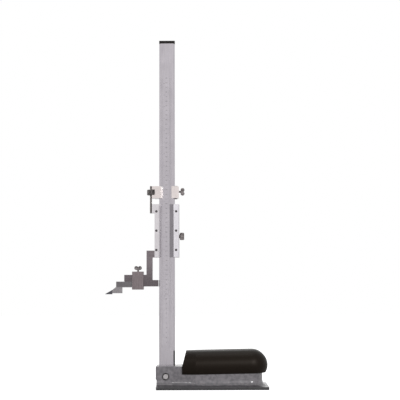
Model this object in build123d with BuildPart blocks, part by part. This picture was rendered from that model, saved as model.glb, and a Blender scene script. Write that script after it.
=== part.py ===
"""Vernier height gauge, 40 to 500 mm, with a handled cast-iron base.

Millimetres, +Z up. The origin is on the underside of the base, straight below the axis of the beam.
X runs along the base towards the hand grip, and the scale side faces -Y.
The slider stands at the reading named below, where the tip of the scriber is that far above the base face.
"""

import os
from math import atan, cos, pi, radians, sin, tan

from build123d import *

os.makedirs("parts", exist_ok=True)

# ---------------------------------------------------------------- fits
running_gap = 0.05  # a face that slides on another
bore_gap = 0.05  # round a shaft that turns, on the radius
seat_gap = 0.02  # round a pressed or screwed-in shank, on the radius
hole_room = 1.0  # a blind hole is this much deeper than what goes in
slot_overrun = 1.0  # a driver slot is cut from beyond the head

# ---------------------------------------------------------------- beam
beam_width = 33.0
beam_depth = 10.0
beam_top = 730.0
beam_foot = 14.0  # the foot stands on the floor of the socket
edge_bevel_width = 3.0  # bevels on the two front edges
edge_bevel_depth = 1.6
scale_zero = 84.0  # height of the zero mark
reading = 194.0  # height of the scriber's measuring face at rest

beam_side = beam_width / 2
beam_front = -beam_depth / 2

# ---------------------------------------------------------------- end cap
cap_height = 6.0
cap_lip = 0.35
cap_corner = 1.2
peg_diameter = 4.0
peg_length = 8.0
peg_spacing = 18.0

# ---------------------------------------------------------------- base casting
base_length = 231.6
base_left = -22.6
base_right = base_left + base_length
flange_height = 6.0
flange_half = 54.0  # half the depth of the flange
flange_setback = 1.8  # the flange ends this far short of the boss, at the left
flange_corner = 2.0
nose_half = 27.0  # half the depth of the beam boss
nose_end = 11.0  # the side walls start to spread here
nose_round = 16.0
spread_end = 61.0  # and are full width here
spread_round = 9.0
body_half = 44.0  # half the depth of the grip end
body_setback = 11.8
body_end = base_right - body_setback
body_corner = 26.0
boss_height = 46.1
boss_round = 1.6
flange_sweep = 13.0  # hollow radius between flange and walls
sweep_room = 16.0  # the sweep is made on a wider foot and cut back to the flange
cut_reach = 300.0  # a cutting solid that goes right past the part
pick_band = 1.0  # either side of a place where corners or edges are picked

# ---------------------------------------------------------------- hand grip
grip_left = 32.0
grip_slope = 1.0  # degrees, the grip rises towards its free end
seat_height = 30.0  # the ledge under the grip, at its left end
grip_height = 46.4
grip_half = body_half + 2.0  # half the cover's depth at the ledge
grip_end = base_right - 4.7  # its right end at the ledge
grip_flare = 24.0  # degrees, the sides lean out above the ledge
grip_flat = 0.65  # half the flat that the shoulder leaves at the block's narrow end
grip_corner = 30.0
grip_rim = 1.8
grip_lean = 7.8  # the left end leans back above the boss
grip_margin = 2.0  # the block starts this far before its cut end
grip_wall = 5.0
grip_step = 24.0  # the hollow has upright walls to here
grip_roof = 38.0  # and closes in up to here
grip_roof_taper = 45.0  # degrees
hump_height = 52.0
hump_wall_gap = 1.0
hump_setback = 11.0  # from the walls below
hump_corner = 18.0
cavity_wall = 13.0  # walls of the casting round its underside pocket
cavity_height = 21.0
cavity_start = 12.0  # before the end of the spreading walls
cavity_corner = 10.0
cover_screw_start = 14.0  # from the end of the spreading walls
cover_screw_end = 32.2  # from the body's end
cover_screws_x = (spread_end + cover_screw_start, body_end - cover_screw_end)
cover_screw_diameter = 5.0
cover_screw_head = 9.0
cover_screw_head_height = 3.4
cover_screw_slot = 1.4  # width and depth
cover_screw_bite = 11.0
cover_boss_diameter = 14.0

# ---------------------------------------------------------------- beam clamp in the base
clamp_x = -2.0
clamp_height = 25.0
clamp_recess_diameter = 15.6
clamp_recess_depth = 7.0
clamp_head_diameter = 11.6
clamp_head_height = 5.6
clamp_head_chamfer = 0.8
clamp_thread = 8.0
clamp_slot_width = 1.6
clamp_slot_depth = 2.0
clamp_slot_angle = 40.0
pad_thickness = 3.0
pad_chamfer = 0.4
foot_screw_diameter = 5.0
foot_screw_spacing = 18.0
foot_screw_head = 8.5
foot_screw_head_height = 5.0
foot_screw_bite = 14.0
foot_screw_socket = 2.25  # corner radius of the hexagon socket
screw_head_chamfer = 0.6
foot_head_gap = 0.5
foot_recess = 2.0  # the head stays this far above the base face

# ---------------------------------------------------------------- slider
slider_length = 112.0
vernier_zero = 7.2  # height of the vernier's zero above the slider's lower end
slider_left = -26.0
slider_right = 25.6
slider_back_wall = 6.0
slider_edge = 0.6
front_depth = 5.0  # strips and vernier together, in front of the channel

left_strip_width = 9.0  # its flat front, the inner bevel comes on top
left_strip_bevel = 4.8
right_strip_start = 13.9
right_strip_end = 25.2
vernier_start = 5.8
vernier_thickness = 3.0
vernier_edge = 0.7

strip_screw_margin = 15.3  # from the slider's ends
left_screw_x = -22.2
right_screw_x = 19.4
strip_screw_diameter = 2.5
strip_screw_head = 5.2
strip_screw_head_height = 1.6
strip_screw_proud = 0.3
strip_screw_chamfer = 0.3
strip_screw_bite = 6.0
strip_slot_width = 0.8
strip_slot_depth = 0.7
strip_slot_angles = (20.0, 75.0, -35.0)

gib_thickness = 1.0
gib_depth = 9.0
gib_screw_diameter = 4.0
gib_screw_point = 2.0  # diameter of the point that holds the gib
gib_screw_bite = 0.6
gib_screw_margin = 20.0
gib_screw_sunk = 0.4
gib_slot_depth = 1.2

lock_height = 44.3  # lock screw above the slider's lower end
lock_thread = 4.0

# ---------------------------------------------------------------- measuring jaw, one piece with the slider
jaw_depth = 12.0
jaw_arm_left = -43.0
jaw_arm_right = -30.4
jaw_tab_height = 14.3
jaw_face_above_tip = 16.0  # underside of the jaw's foot above the scriber's measuring face
jaw_foot_right = -18.0
jaw_foot_height = 13.3
jaw_bar_left = -89.7
jaw_bar_height = 14.0
jaw_beam_height = 24.4  # the jaw's full height beside the clamp box
jaw_step = -51.5  # where the jaw steps up to its bar
jaw_corner = 1.0

# ---------------------------------------------------------------- fine adjustment
screw_x = -34.0
screw_y = -3.0
screw_diameter = 4.6
screw_length = 57.6
lug_height = 18.7
lug_tongue = 3.6  # the tongue behind the screw
lug_overlap = 1.0  # into the strip
screw_point = 0.6  # chamfer at the screw's ends
pin_diameter = 2.0
pin_bite = 4.0  # into the lug, past the screw
nut_diameter = 16.5
nut_height = 11.5
nut_chamfer = 1.0

# ---------------------------------------------------------------- carriage
carriage_gap = 12.6  # from the slider's upper end
carriage_height = 25.5
carriage_left_claw = -8.6
carriage_left_bevel = 4.2
carriage_right_claw = 9.7
carriage_right = 25.2
carriage_round = 3.0
carriage_arm_depth = 15.0
nut_above_carriage = 6.9
nut_room = 0.6
shoe_thickness = 1.1
shoe_hook = 4.6
carriage_lock_height = 14.4

# ---------------------------------------------------------------- wing screws
wing_thickness = 3.0
wing_edge = 0.7
wing_collar_diameter = 6.4
wing_lead = 0.4  # chamfer at a wing screw's end, and the collar's lift above its seat
wing_root = 2.4  # the spade's stem reaches this far into the blade
wing_notch = 0.6  # depth of the notch between two wings, as a share of a lobe
lobe_overlap = 0.15
spade_stand = 0.6
spade_length = 9.9
spade_span = 15.6
spade_neck = 3.4  # half the spade's width where it starts
spade_rise = 1.7  # and it is full width this far on
spade_corner = 2.2
butterfly_stand = 3.2
butterfly_length = 8.6
butterfly_span = 16.0

# ---------------------------------------------------------------- scriber clamp and scriber
box_left = -73.0
box_right = -49.1
box_wall = 4.0  # front and back walls
box_floor = 4.7
box_roof = 6.8
box_edge = 0.8
small_wing_stand = 3.3
small_wing_length = 8.3
small_wing_span = 15.8

scriber_end = -53.5
scriber_height = 12.1
scriber_left = -106.6
scriber_heel = -94.0  # right side of the lowered nose
nose_clearance = 2.1  # steel nose above the measuring face
nose_slope_top = 15.2  # above the measuring face
nose_slope_foot = 10.6
nose_slope_x = -112.6
tip_point = -129.6
tip_heel = -115.0
tip_top_x = -114.2
tip_top = 9.4
tip_flat = 0.6
tip_depth = 10.0

# ---------------------------------------------------------------- heights and places that follow
scriber_bottom = reading
slider_bottom = scale_zero + reading - vernier_zero
slider_top = slider_bottom + slider_length
channel_front = beam_front - running_gap
channel_back = beam_depth / 2 + running_gap
slider_front = channel_front - front_depth
slider_back = channel_back + slider_back_wall
channel_left = -beam_side - running_gap
channel_right = beam_side + gib_thickness + 2 * running_gap
carriage_bottom = slider_top + carriage_gap
jaw_bottom = reading + jaw_face_above_tip
jaw_top = jaw_bottom + jaw_beam_height
bar_bottom = jaw_top - jaw_bar_height
screw_bottom = slider_top - lug_height
nut_bottom = carriage_bottom + nut_above_carriage
strip_screw_heights = (
    slider_bottom + strip_screw_margin,
    slider_bottom + slider_length / 2,
    slider_top - strip_screw_margin,
)
lock_z = slider_bottom + lock_height
gib_screw_heights = (slider_bottom + gib_screw_margin, slider_top - gib_screw_margin)
carriage_lock_z = carriage_bottom + carriage_lock_height
gib_outer = beam_side + running_gap + gib_thickness
vernier_front = channel_front - vernier_thickness
screw_back = screw_y + screw_diameter / 2 + seat_gap
screw_side = screw_x + screw_diameter / 2 + seat_gap


# ================================================================ base body
def spread_outline(left, nose, wide, right):
    """The base seen from above: narrow round the beam, spreading to full width under the grip."""
    return (
        (left, -nose),
        (nose_end, -nose),
        (spread_end, -wide),
        (right, -wide),
        (right, wide),
        (spread_end, wide),
        (nose_end, nose),
        (left, nose),
    )


slope = radians(grip_slope)
hump_left = grip_left + grip_wall + grip_lean / 2 + hump_wall_gap
hump_right = body_end - hump_setback
hump_half = body_half - hump_setback
grip_plane = Plane(
    origin=(grip_left, 0, seat_height),
    x_dir=(cos(slope), 0, sin(slope)),
    z_dir=(-sin(slope), 0, cos(slope)),
)
grip_spread = atan((body_half - nose_half) / (spread_end - nose_end))


def grip_outline(offset):
    """The cover's outline at its ledge, in the grip's own plane, moved outwards by offset."""
    start = -grip_margin - offset
    corner_x = spread_end - grip_left - offset * tan(grip_spread / 2)
    wide = grip_half + offset
    near = wide - (corner_x - start) * tan(grip_spread)
    end = grip_end - grip_left + offset
    return (
        (start, -near),
        (corner_x, -wide),
        (end, -wide),
        (end, wide),
        (corner_x, wide),
        (start, near),
    )


with BuildPart() as base_casting:
    # foot, wider than the flange so that the sweep has room
    with BuildSketch(Plane.XY):
        with Locations((base_left, 0)):
            Rectangle(
                base_length + sweep_room,
                2 * (flange_half + sweep_room),
                align=(Align.MIN, Align.CENTER),
            )
    extrude(amount=flange_height)
    # walls, up to the top of the beam boss, with a hollow sweep down to the flange
    with BuildSketch(Plane.XY.offset(flange_height)):
        with BuildLine():
            Polyline(*spread_outline(base_left, nose_half, body_half, body_end), close=True)
        make_face()
        fillet(vertices().group_by(Axis.X)[-1], body_corner)
        spread_corners = vertices().filter_by_position(Axis.X, spread_end - pick_band, spread_end + pick_band)
        fillet(spread_corners, spread_round)
        fillet(vertices().filter_by_position(Axis.X, nose_end - pick_band, nose_end + pick_band), nose_round)
    extrude(amount=boss_height - flange_height)
    foot_edges = base_casting.edges(Select.LAST).group_by(Axis.Z)[0]
    fillet(foot_edges.filter_by_position(Axis.X, base_left + pick_band, base_right), flange_sweep)
    # the foot cut back to the flange
    with BuildSketch(Plane.XY):
        with Locations((base_left, 0)):
            Rectangle(cut_reach, cut_reach, align=(Align.MIN, Align.CENTER))
        with Locations((base_left + flange_setback, 0)):
            RectangleRounded(
                base_length - flange_setback,
                2 * flange_half,
                flange_corner,
                align=(Align.MIN, Align.CENTER),
                mode=Mode.SUBTRACT,
            )
    extrude(amount=flange_height + flange_sweep, mode=Mode.SUBTRACT)
    # ledge for the grip cover, on the grip's slope
    with BuildSketch(grip_plane):
        Rectangle(cut_reach, cut_reach, align=(Align.MIN, Align.CENTER))
    extrude(amount=boss_height, mode=Mode.SUBTRACT)
    # rounded rim of the boss
    rim = base_casting.faces().filter_by(Axis.Z).sort_by(Axis.Z)[-1].edges()
    fillet([edge for edge in rim if edge.center().X < grip_left - pick_band], boss_round)
    # hump under the cover
    with BuildSketch(Plane.XY.offset(cavity_height)):
        with BuildLine():
            Polyline(
                (hump_left, -nose_half),
                (spread_end, -hump_half),
                (hump_right, -hump_half),
                (hump_right, hump_half),
                (spread_end, hump_half),
                (hump_left, nose_half),
                close=True,
            )
        make_face()
        fillet(vertices().group_by(Axis.X)[-1], hump_corner)
    extrude(amount=hump_height - cavity_height)
    # socket for the beam
    with BuildSketch(Plane.XY.offset(beam_foot)):
        Rectangle(beam_width + 2 * seat_gap, beam_depth + 2 * seat_gap)
    extrude(amount=boss_height, mode=Mode.SUBTRACT)
    # clamp screw: recess, tapped hole
    with BuildSketch(Plane.XZ.offset(flange_half)):
        with Locations((clamp_x, clamp_height)):
            Circle(clamp_recess_diameter / 2)
    extrude(amount=-(flange_half - nose_half + clamp_recess_depth), mode=Mode.SUBTRACT)
    with BuildSketch(Plane.XZ.offset(nose_half)):
        with Locations((clamp_x, clamp_height)):
            Circle(clamp_thread / 2 + seat_gap)
    extrude(amount=-nose_half, mode=Mode.SUBTRACT)
    # foot screws: recesses and holes under the beam
    with BuildSketch(Plane.XY):
        with GridLocations(foot_screw_spacing, 0, 2, 1):
            Circle(foot_screw_head / 2 + foot_head_gap)
    extrude(amount=foot_recess + foot_screw_head_height, mode=Mode.SUBTRACT)
    with BuildSketch(Plane.XY):
        with GridLocations(foot_screw_spacing, 0, 2, 1):
            Circle(foot_screw_diameter / 2 + seat_gap)
    extrude(amount=beam_foot, mode=Mode.SUBTRACT)
    # pocket in the underside
    with BuildSketch(Plane.XY):
        with BuildLine():
            Polyline(
                (spread_end - cavity_start, -body_half + cavity_wall),
                (body_end - cavity_wall, -body_half + cavity_wall),
                (body_end - cavity_wall, body_half - cavity_wall),
                (spread_end - cavity_start, body_half - cavity_wall),
                close=True,
            )
        make_face()
        fillet(vertices(), cavity_corner)
    extrude(amount=cavity_height, mode=Mode.SUBTRACT)
    # holes for the cover's screws
    with BuildSketch(Plane.XY.offset(cavity_height)):
        with Locations(*[(x, 0) for x in cover_screws_x]):
            Circle(cover_screw_diameter / 2 + seat_gap)
    extrude(amount=hump_height, mode=Mode.SUBTRACT)
base_casting.part.label = "base_casting"
export_step(base_casting.part, "parts/base_casting.step")

grip_grown = grip_height * tan(radians(grip_flare))
grip_narrow = grip_outline(grip_grown)[-1][1]
# one round from the flare over to the top, as large as the narrow end has room for
grip_shoulder = (grip_narrow - grip_flat) * cos(grip_spread) * tan((pi / 2 - radians(grip_flare)) / 2)
with BuildPart() as grip_cover:
    # a block that narrows down to the ledge, rounded over from its sides to its top
    with BuildSketch(grip_plane.offset(grip_height)):
        with BuildLine():
            Polyline(*grip_outline(grip_grown), close=True)
        make_face()
        fillet(vertices().sort_by(Axis.X)[-2:], grip_corner + grip_grown)
    extrude(amount=-grip_height, taper=grip_flare)
    fillet(grip_cover.faces().sort_by(Axis.Z)[-1].edges().sort_by(Axis.X)[1:], grip_shoulder)
    fillet(grip_cover.faces().sort_by(Axis.Z)[0].edges().sort_by(Axis.X)[1:], grip_rim)
    # left end: upright beside the boss, leaning back above it
    with BuildSketch(Plane.XZ):
        with BuildLine():
            Polyline(
                (grip_left - cut_reach, 0),
                (grip_left + running_gap, 0),
                (grip_left + running_gap, boss_height),
                (grip_left + grip_lean, seat_height + grip_height),
                (grip_left + grip_lean, cut_reach),
                (grip_left - cut_reach, cut_reach),
                close=True,
            )
        make_face()
    extrude(amount=cut_reach, both=True, mode=Mode.SUBTRACT)
    # hollow inside, behind an end wall
    with BuildSketch(grip_plane):
        with BuildLine():
            Polyline(*grip_outline(-grip_wall), close=True)
        make_face()
        fillet(vertices().sort_by(Axis.X)[-2:], grip_corner - grip_wall)
        with Locations((grip_wall + grip_lean / 2, 0)):
            Rectangle(cut_reach, cut_reach, align=(Align.MAX, Align.CENTER), mode=Mode.SUBTRACT)
    extrude(amount=grip_step, mode=Mode.SUBTRACT)
    with BuildSketch(grip_plane.offset(grip_step)):
        with BuildLine():
            Polyline(*grip_outline(-grip_wall), close=True)
        make_face()
        fillet(vertices().sort_by(Axis.X)[-2:], grip_corner - grip_wall)
        with Locations((grip_wall + grip_lean, 0)):
            Rectangle(cut_reach, cut_reach, align=(Align.MAX, Align.CENTER), mode=Mode.SUBTRACT)
    extrude(amount=grip_roof - grip_step, taper=grip_roof_taper, mode=Mode.SUBTRACT)
    # bosses for the screws, standing on the hump
    with BuildSketch(Plane.XY.offset(hump_height)):
        with Locations(*[(x, 0) for x in cover_screws_x]):
            Circle(cover_boss_diameter / 2)
    extrude(amount=seat_height + grip_height - grip_wall - hump_height)
    with BuildSketch(Plane.XY.offset(hump_height)):
        with Locations(*[(x, 0) for x in cover_screws_x]):
            Circle(cover_screw_diameter / 2 + seat_gap)
    extrude(amount=cover_screw_bite, mode=Mode.SUBTRACT)
grip_cover.part.label = "grip_cover"
export_step(grip_cover.part, "parts/grip_cover.step")

with BuildPart() as grip_cover_screws:
    with BuildSketch(Plane.XY.offset(cavity_height)):
        with Locations(*[(x, 0) for x in cover_screws_x]):
            Circle(cover_screw_head / 2)
    extrude(amount=-cover_screw_head_height)
    chamfer(grip_cover_screws.edges().group_by(Axis.Z)[0], screw_head_chamfer)
    with BuildSketch(Plane.XY.offset(cavity_height)):
        with Locations(*[(x, 0) for x in cover_screws_x]):
            Circle(cover_screw_diameter / 2)
    extrude(amount=hump_height - cavity_height + cover_screw_bite - hole_room)
    with BuildSketch(Plane.XY.offset(cavity_height - cover_screw_head_height)):
        with Locations(*[(x, 0) for x in cover_screws_x]):
            Rectangle(cover_screw_head + slot_overrun, cover_screw_slot)
    extrude(amount=cover_screw_slot, mode=Mode.SUBTRACT)
grip_cover_screws.part.label = "grip_cover_screws"
export_step(grip_cover_screws.part, "parts/grip_cover_screws.step")

with BuildPart() as beam:
    with BuildSketch(Plane.XY.offset(beam_foot)):
        with BuildLine():
            Polyline(
                (-beam_side, beam_depth / 2),
                (-beam_side, beam_front + edge_bevel_depth),
                (-beam_side + edge_bevel_width, beam_front),
                (beam_side - edge_bevel_width, beam_front),
                (beam_side, beam_front + edge_bevel_depth),
                (beam_side, beam_depth / 2),
                close=True,
            )
        make_face()
    extrude(amount=beam_top - beam_foot)
    # holes for the pegs of the end cap, and the tapped holes in the foot
    with BuildSketch(Plane.XY.offset(beam_top)):
        with GridLocations(peg_spacing, 0, 2, 1):
            Circle(peg_diameter / 2 + seat_gap)
    extrude(amount=-(peg_length + hole_room), mode=Mode.SUBTRACT)
    with BuildSketch(Plane.XY.offset(beam_foot)):
        with GridLocations(foot_screw_spacing, 0, 2, 1):
            Circle(foot_screw_diameter / 2 + seat_gap)
    extrude(amount=foot_screw_bite + hole_room, mode=Mode.SUBTRACT)
beam.part.label = "beam"
export_step(beam.part, "parts/beam.step")

with BuildPart() as beam_end_cap:
    with BuildSketch(Plane.XY.offset(beam_top)):
        RectangleRounded(beam_width + 2 * cap_lip, beam_depth + 2 * cap_lip, cap_corner)
    extrude(amount=cap_height)
    fillet(beam_end_cap.edges().group_by(Axis.Z)[-1], cap_corner / 2)
    with BuildSketch(Plane.XY.offset(beam_top)):
        with GridLocations(peg_spacing, 0, 2, 1):
            Circle(peg_diameter / 2)
    extrude(amount=-peg_length)
beam_end_cap.part.label = "beam_end_cap"
export_step(beam_end_cap.part, "parts/beam_end_cap.step")

# The clamp screw's head lies in its recess and its end bears on the brass pad.
clamp_head_back = -nose_half + clamp_recess_depth
pad_front = beam_front - pad_thickness
with BuildPart() as beam_clamp_screw:
    with BuildSketch(Plane.XZ.offset(-clamp_head_back)):
        with Locations((clamp_x, clamp_height)):
            Circle(clamp_head_diameter / 2)
    extrude(amount=clamp_head_height)
    chamfer(beam_clamp_screw.edges().group_by(Axis.Y)[0], clamp_head_chamfer)
    with BuildSketch(Plane.XZ.offset(-clamp_head_back)):
        with Locations((clamp_x, clamp_height)):
            Circle(clamp_thread / 2)
    extrude(amount=-(pad_front - clamp_head_back))
    with BuildSketch(Plane.XZ.offset(-clamp_head_back + clamp_head_height)):
        with Locations((clamp_x, clamp_height)):
            Rectangle(clamp_head_diameter + slot_overrun, clamp_slot_width, rotation=clamp_slot_angle)
    extrude(amount=-clamp_slot_depth, mode=Mode.SUBTRACT)
beam_clamp_screw.part.label = "beam_clamp_screw"
export_step(beam_clamp_screw.part, "parts/beam_clamp_screw.step")

with BuildPart() as beam_clamp_pad:
    with BuildSketch(Plane.XZ.offset(-pad_front)):
        with Locations((clamp_x, clamp_height)):
            Circle(clamp_thread / 2)
    extrude(amount=-pad_thickness)
    chamfer(beam_clamp_pad.edges().group_by(Axis.Y)[0], pad_chamfer)
beam_clamp_pad.part.label = "beam_clamp_pad"
export_step(beam_clamp_pad.part, "parts/beam_clamp_pad.step")

with BuildPart() as beam_foot_screws:
    with BuildSketch(Plane.XY.offset(foot_recess)):
        with GridLocations(foot_screw_spacing, 0, 2, 1):
            Circle(foot_screw_head / 2)
    extrude(amount=foot_screw_head_height)
    chamfer(beam_foot_screws.edges().group_by(Axis.Z)[0], screw_head_chamfer)
    with BuildSketch(Plane.XY.offset(foot_recess)):
        with GridLocations(foot_screw_spacing, 0, 2, 1):
            RegularPolygon(foot_screw_socket, 6)
    extrude(amount=foot_screw_head_height / 2, mode=Mode.SUBTRACT)
    with BuildSketch(Plane.XY.offset(foot_recess + foot_screw_head_height)):
        with GridLocations(foot_screw_spacing, 0, 2, 1):
            Circle(foot_screw_diameter / 2)
    extrude(amount=beam_foot + foot_screw_bite - foot_recess - foot_screw_head_height)
beam_foot_screws.part.label = "beam_foot_screws"
export_step(beam_foot_screws.part, "parts/beam_foot_screws.step")


# ================================================================ slider
with BuildPart() as slider_body:
    # channel round the sides and back of the beam
    with BuildSketch(Plane.XY.offset(slider_bottom)):
        with BuildLine():
            Polyline(
                (slider_left, channel_front),
                (slider_left, slider_back),
                (slider_right, slider_back),
                (slider_right, channel_front),
                (channel_right, channel_front),
                (channel_right, channel_back),
                (channel_left, channel_back),
                (channel_left, channel_front),
                close=True,
            )
        make_face()
        fillet(vertices().group_by(Axis.Y)[-1], slider_edge)
    extrude(amount=slider_length)
    # jaw: tab, arm, foot and the bar that carries the scriber
    with BuildSketch(Plane.XZ):
        with BuildLine():
            Polyline(
                (slider_left, slider_bottom),
                (jaw_arm_right, slider_bottom),
                (jaw_arm_right, jaw_bottom + jaw_foot_height),
                (jaw_foot_right, jaw_bottom + jaw_foot_height),
                (jaw_foot_right, jaw_bottom),
                (jaw_step, jaw_bottom),
                (jaw_step, bar_bottom),
                (jaw_bar_left, bar_bottom),
                (jaw_bar_left, jaw_top),
                (jaw_arm_left, jaw_top),
                (jaw_arm_left, slider_bottom + jaw_tab_height),
                (slider_left, slider_bottom + jaw_tab_height),
                close=True,
            )
        make_face()
        fillet(vertices().group_by(Axis.X)[0], jaw_corner)
        fillet(vertices().sort_by_distance((jaw_arm_left, slider_bottom + jaw_tab_height))[0], jaw_corner)
    extrude(amount=jaw_depth / 2, both=True)
    # holes for the strip screws, the gib screws and the lock screw
    with BuildSketch(Plane.XZ.offset(-channel_front)):
        with Locations(
            *[(left_screw_x, z) for z in strip_screw_heights],
            *[(right_screw_x, z) for z in strip_screw_heights],
        ):
            Circle(strip_screw_diameter / 2 + seat_gap)
    extrude(amount=-(strip_screw_bite + hole_room), mode=Mode.SUBTRACT)
    with BuildSketch(Plane.YZ.offset(slider_right)):
        with Locations((0, lock_z)):
            Circle(lock_thread / 2 + bore_gap)
    extrude(amount=channel_right - slider_right, mode=Mode.SUBTRACT)
    with BuildSketch(Plane.YZ.offset(slider_right)):
        with Locations(*[(0, z) for z in gib_screw_heights]):
            Circle(gib_screw_diameter / 2 + seat_gap)
    extrude(amount=channel_right - slider_right, mode=Mode.SUBTRACT)
slider_body.part.label = "slider_body"
export_step(slider_body.part, "parts/slider_body.step")

with BuildPart() as slider_left_strip:
    with BuildSketch(Plane.XY.offset(slider_bottom)):
        with BuildLine():
            Polyline(
                (slider_left, channel_front),
                (slider_left, slider_front),
                (slider_left + left_strip_width, slider_front),
                (slider_left + left_strip_width + left_strip_bevel, slider_front + left_strip_bevel),
                (slider_left + left_strip_width + left_strip_bevel, channel_front),
                close=True,
            )
        make_face()
    extrude(amount=slider_length)
    # lug for the fine-adjustment screw, hooked round the side of the channel
    with BuildSketch(Plane.XY.offset(screw_bottom)):
        with BuildLine():
            Polyline(
                (slider_left, channel_front),
                (slider_left, screw_back + lug_tongue),
                (screw_x - screw_diameter / 2, screw_back + lug_tongue),
                (screw_x - screw_diameter / 2, screw_back),
                (screw_side, screw_back),
                (screw_side, slider_front),
                (slider_left + lug_overlap, slider_front),
                (slider_left + lug_overlap, channel_front),
                close=True,
            )
        make_face()
    extrude(amount=lug_height)
    with Locations(*[Location((left_screw_x, slider_front, z), (90, 0, 0)) for z in strip_screw_heights]):
        CounterBoreHole(
            strip_screw_diameter / 2 + seat_gap,
            strip_screw_head / 2 + seat_gap,
            strip_screw_head_height - strip_screw_proud,
        )
    with BuildSketch(Plane.YZ.offset(screw_side)):
        with Locations((screw_y, screw_bottom + lug_height / 2)):
            Circle(pin_diameter / 2 + seat_gap)
    extrude(amount=pin_bite, mode=Mode.SUBTRACT)
slider_left_strip.part.label = "slider_left_strip"
export_step(slider_left_strip.part, "parts/slider_left_strip.step")

with BuildPart() as vernier_plate:
    with BuildSketch(Plane.XY.offset(slider_bottom)):
        with BuildLine():
            Polyline(
                (vernier_start, channel_front),
                (vernier_start, channel_front - vernier_edge),
                (right_strip_start, vernier_front),
                (right_strip_end, vernier_front),
                (right_strip_end, channel_front),
                close=True,
            )
        make_face()
    extrude(amount=slider_length)
    with BuildSketch(Plane.XZ.offset(-vernier_front)):
        with Locations(*[(right_screw_x, z) for z in strip_screw_heights]):
            Circle(strip_screw_diameter / 2 + seat_gap)
    extrude(amount=-vernier_thickness, mode=Mode.SUBTRACT)
vernier_plate.part.label = "vernier_plate"
export_step(vernier_plate.part, "parts/vernier_plate.step")

with BuildPart() as slider_right_strip:
    with BuildSketch(Plane.XY.offset(slider_bottom)):
        with BuildLine():
            Polyline(
                (right_strip_start, vernier_front),
                (right_strip_start, slider_front + slider_edge),
                (right_strip_start + slider_edge, slider_front),
                (right_strip_end - slider_edge, slider_front),
                (right_strip_end, slider_front + slider_edge),
                (right_strip_end, vernier_front),
                close=True,
            )
        make_face()
    extrude(amount=slider_length)
    with Locations(*[Location((right_screw_x, slider_front, z), (90, 0, 0)) for z in strip_screw_heights]):
        CounterBoreHole(
            strip_screw_diameter / 2 + seat_gap,
            strip_screw_head / 2 + seat_gap,
            strip_screw_head_height - strip_screw_proud,
        )
slider_right_strip.part.label = "slider_right_strip"
export_step(slider_right_strip.part, "parts/slider_right_strip.step")


def strip_screws(x):
    """A column of three slotted screws that hold a strip to the channel."""
    head_back = slider_front - strip_screw_proud + strip_screw_head_height
    with BuildPart() as screws:
        with BuildSketch(Plane.XZ.offset(-head_back)):
            with Locations(*[(x, z) for z in strip_screw_heights]):
                Circle(strip_screw_head / 2)
        extrude(amount=strip_screw_head_height)
        chamfer(screws.edges().group_by(Axis.Y)[0], strip_screw_chamfer)
        with BuildSketch(Plane.XZ.offset(-head_back)):
            with Locations(*[(x, z) for z in strip_screw_heights]):
                Circle(strip_screw_diameter / 2)
        extrude(amount=-(channel_front + strip_screw_bite - head_back))
        with BuildSketch(Plane.XZ.offset(-slider_front + strip_screw_proud)):
            for turn, z in zip(strip_slot_angles, strip_screw_heights):
                with Locations((x, z)):
                    Rectangle(strip_screw_head + slot_overrun, strip_slot_width, rotation=turn)
        extrude(amount=-strip_slot_depth, mode=Mode.SUBTRACT)
    return screws.part


left_strip_screws = strip_screws(left_screw_x)
left_strip_screws.label = "left_strip_screws"
export_step(left_strip_screws, "parts/left_strip_screws.step")

right_strip_screws = strip_screws(right_screw_x)
right_strip_screws.label = "right_strip_screws"
export_step(right_strip_screws, "parts/right_strip_screws.step")

with BuildPart() as slider_gib:
    with BuildSketch(Plane.XY.offset(slider_bottom)):
        with Locations((beam_side + running_gap, 0)):
            Rectangle(gib_thickness, gib_depth, align=(Align.MIN, Align.CENTER))
    extrude(amount=slider_length)
    with BuildSketch(Plane.YZ.offset(gib_outer)):
        with Locations(*[(0, z) for z in gib_screw_heights]):
            Circle(gib_screw_point / 2 + seat_gap)
    extrude(amount=-gib_screw_bite, mode=Mode.SUBTRACT)
slider_gib.part.label = "slider_gib"
export_step(slider_gib.part, "parts/slider_gib.step")

with BuildPart() as slider_gib_screws:
    with BuildSketch(Plane.YZ.offset(channel_right + running_gap)):
        with Locations(*[(0, z) for z in gib_screw_heights]):
            Circle(gib_screw_diameter / 2)
    extrude(amount=slider_right - gib_screw_sunk - channel_right - running_gap)
    with BuildSketch(Plane.YZ.offset(slider_right - gib_screw_sunk)):
        with Locations(*[(0, z) for z in gib_screw_heights]):
            Rectangle(gib_screw_diameter + slot_overrun, strip_slot_width)
    extrude(amount=-gib_slot_depth, mode=Mode.SUBTRACT)
    with BuildSketch(Plane.YZ.offset(channel_right + running_gap)):
        with Locations(*[(0, z) for z in gib_screw_heights]):
            Circle(gib_screw_point / 2)
    extrude(amount=-(channel_right + running_gap - gib_outer + gib_screw_bite - seat_gap))
slider_gib_screws.part.label = "slider_gib_screws"
export_step(slider_gib_screws.part, "parts/slider_gib_screws.step")

with BuildPart() as fine_adjust_screw:
    with BuildSketch(Plane.XY.offset(screw_bottom)):
        with Locations((screw_x, screw_y)):
            Circle(screw_diameter / 2)
    extrude(amount=screw_length)
    chamfer(fine_adjust_screw.edges().filter_by(GeomType.CIRCLE), screw_point)
    with BuildSketch(Plane.YZ.offset(screw_x)):
        with Locations((screw_y, screw_bottom + lug_height / 2)):
            Circle(pin_diameter / 2 + seat_gap)
    extrude(amount=screw_diameter, both=True, mode=Mode.SUBTRACT)
fine_adjust_screw.part.label = "fine_adjust_screw"
export_step(fine_adjust_screw.part, "parts/fine_adjust_screw.step")

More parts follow.
